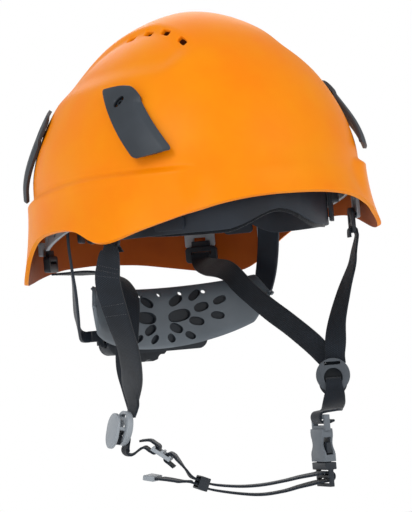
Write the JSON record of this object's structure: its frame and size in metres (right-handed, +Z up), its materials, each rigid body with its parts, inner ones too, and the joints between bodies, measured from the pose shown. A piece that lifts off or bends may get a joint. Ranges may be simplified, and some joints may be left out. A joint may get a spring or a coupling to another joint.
{
  "type": "climbing helmet",
  "caption": "Climbing helmet with a smooth orange shell, lamp clips, inner suspension, nape ratchet and a buckled four-point chin strap.",
  "frame": {"origin": "centre of the head opening, on the plane of the headband", "axes": "+Z up through the crown, the wearer faces -Y, the wearer's left side is +X"},
  "size_m": [0.2334, 0.2797, 0.3413],
  "materials": {
    "shell": "satin orange moulded shell",
    "slate_plastic": "dark slate grey moulded plastic",
    "grey_plastic": "mid grey flexible plastic",
    "pale_plastic": "light grey hard plastic",
    "black_plastic": "near black hard plastic",
    "foam_pad": "soft dark padding",
    "webbing": "woven polyester webbing",
    "spring_steel": "bright steel"
  },
  "bodies": {
    "helmet": {"shell": "shell", "clip_retainers": "spring_steel", "suspension_rail_left": "pale_plastic", "suspension_rail_right": "pale_plastic", "cradle_keys": "grey_plastic", "cradle_strap_front_left": "webbing", "cradle_strap_front_right": "webbing", "cradle_strap_across": "webbing", "crown_pad": "foam_pad", "headband": "black_plastic", "brow_pad": "foam_pad", "headband_hangers": "grey_plastic", "headband_arm_left": "black_plastic", "headband_arm_right": "black_plastic", "strap_clip_front_left": "pale_plastic", "strap_clip_front_right": "pale_plastic", "strap_hook_front_left": "black_plastic", "strap_hook_front_right": "black_plastic", "strap_clip_rear_left": "pale_plastic", "strap_clip_rear_right": "pale_plastic", "strap_block_rear_left": "black_plastic", "strap_block_rear_right": "black_plastic", "strap_front_left": "webbing", "strap_front_right": "webbing", "strap_rear_left": "webbing", "strap_rear_right": "webbing", "slider_left": "grey_plastic", "slider_right": "grey_plastic", "slider_face_left": "pale_plastic", "slider_face_right": "pale_plastic", "lower_strap_left": "webbing", "lower_strap_right": "webbing", "tri_glide": "pale_plastic", "chin_strap": "webbing", "strap_tip": "pale_plastic", "keeper_loop": "black_plastic", "buckle_socket": "grey_plastic"},
    "lamp_clip_fl": {"lamp_clip_front_left": "slate_plastic"},
    "lamp_clip_fr": {"lamp_clip_front_right": "slate_plastic"},
    "lamp_clip_rl": {"lamp_clip_rear_left": "slate_plastic"},
    "lamp_clip_rr": {"lamp_clip_rear_right": "slate_plastic"},
    "nape_unit": {"nape_pad": "grey_plastic", "ratchet_housing": "black_plastic", "ratchet_cover": "black_plastic", "housing_screws": "spring_steel", "click_spring": "spring_steel"},
    "knob": {"ratchet_knob": "black_plastic", "pinion": "pale_plastic"},
    "rack_l": {"rack_left": "black_plastic"},
    "rack_r": {"rack_right": "black_plastic"},
    "plug": {"buckle_plug": "black_plastic"},
    "prong_f": {"buckle_prong_front": "black_plastic"},
    "prong_r": {"buckle_prong_rear": "black_plastic"}
  },
  "joints": [
    {"name": "lamp_clip_front_left_lift", "type": "hinge", "parent": "helmet", "child": "lamp_clip_fl", "pos_m": [0.08463, -0.04358, 0.073], "axis": [-0.5481, -0.6486, 0.5281], "range_deg": [0, 3], "stiffness_Nm_per_rad": 2},
    {"name": "lamp_clip_front_right_lift", "type": "hinge", "parent": "helmet", "child": "lamp_clip_fr", "pos_m": [-0.08463, -0.04358, 0.073], "axis": [-0.5481, 0.6486, -0.5281], "range_deg": [0, 3], "stiffness_Nm_per_rad": 2},
    {"name": "lamp_clip_rear_left_lift", "type": "hinge", "parent": "helmet", "child": "lamp_clip_rl", "pos_m": [0.08293, 0.07091, 0.065], "axis": [0.5339, -0.7144, -0.4523], "range_deg": [0, 3], "stiffness_Nm_per_rad": 2},
    {"name": "lamp_clip_rear_right_lift", "type": "hinge", "parent": "helmet", "child": "lamp_clip_rr", "pos_m": [-0.08293, 0.07091, 0.065], "axis": [0.5339, 0.7144, 0.4523], "range_deg": [0, 3], "stiffness_Nm_per_rad": 2},
    {"name": "nape_unit_slide", "type": "slide", "parent": "helmet", "child": "nape_unit", "axis": [0, -1, 0], "range_m": [-0.006, 0.01]},
    {"name": "ratchet_knob_turn", "type": "hinge", "parent": "nape_unit", "child": "knob", "pos_m": [0, 0.0918, -0.081], "axis": [0, -1, 0], "range_deg": [-62, 104]},
    {"name": "rack_left_slide", "type": "slide", "parent": "helmet", "child": "rack_l", "axis": [-0.6247, -0.7809, 0], "range_m": [-0.0077, 0.0129], "deforming": ["headband_arm_left"]},
    {"name": "rack_right_slide", "type": "slide", "parent": "helmet", "child": "rack_r", "axis": [0.6247, -0.7809, 0], "range_m": [-0.0077, 0.0129], "deforming": ["headband_arm_right"]},
    {"name": "buckle_release", "type": "slide", "parent": "helmet", "child": "plug", "axis": [0, 0, -1], "range_m": [0, 0.014], "deforming": ["chin_strap", "buckle_prong_front", "buckle_prong_rear"]},
    {"name": "buckle_prong_front_press", "type": "hinge", "parent": "plug", "child": "prong_f", "pos_m": [0.04092, -0.06882, -0.1832], "axis": [-0.9877, 0.1564, 0], "range_deg": [0, 12], "stiffness_Nm_per_rad": 0.3},
    {"name": "buckle_prong_rear_press", "type": "hinge", "parent": "plug", "child": "prong_r", "pos_m": [0.04308, -0.05518, -0.1832], "axis": [0.9877, -0.1564, 0], "range_deg": [0, 12], "stiffness_Nm_per_rad": 0.3}
  ],
  "couplings": [
    {"joint": "nape_unit_slide", "follows": "ratchet_knob_turn", "m_per_rad": 0.0055},
    {"joint": "rack_left_slide", "follows": "ratchet_knob_turn", "m_per_rad": 0.007043},
    {"joint": "rack_right_slide", "follows": "ratchet_knob_turn", "m_per_rad": 0.007043},
    {"joint": "buckle_prong_rear_press", "follows": "buckle_prong_front_press", "ratio": 1}
  ]
}
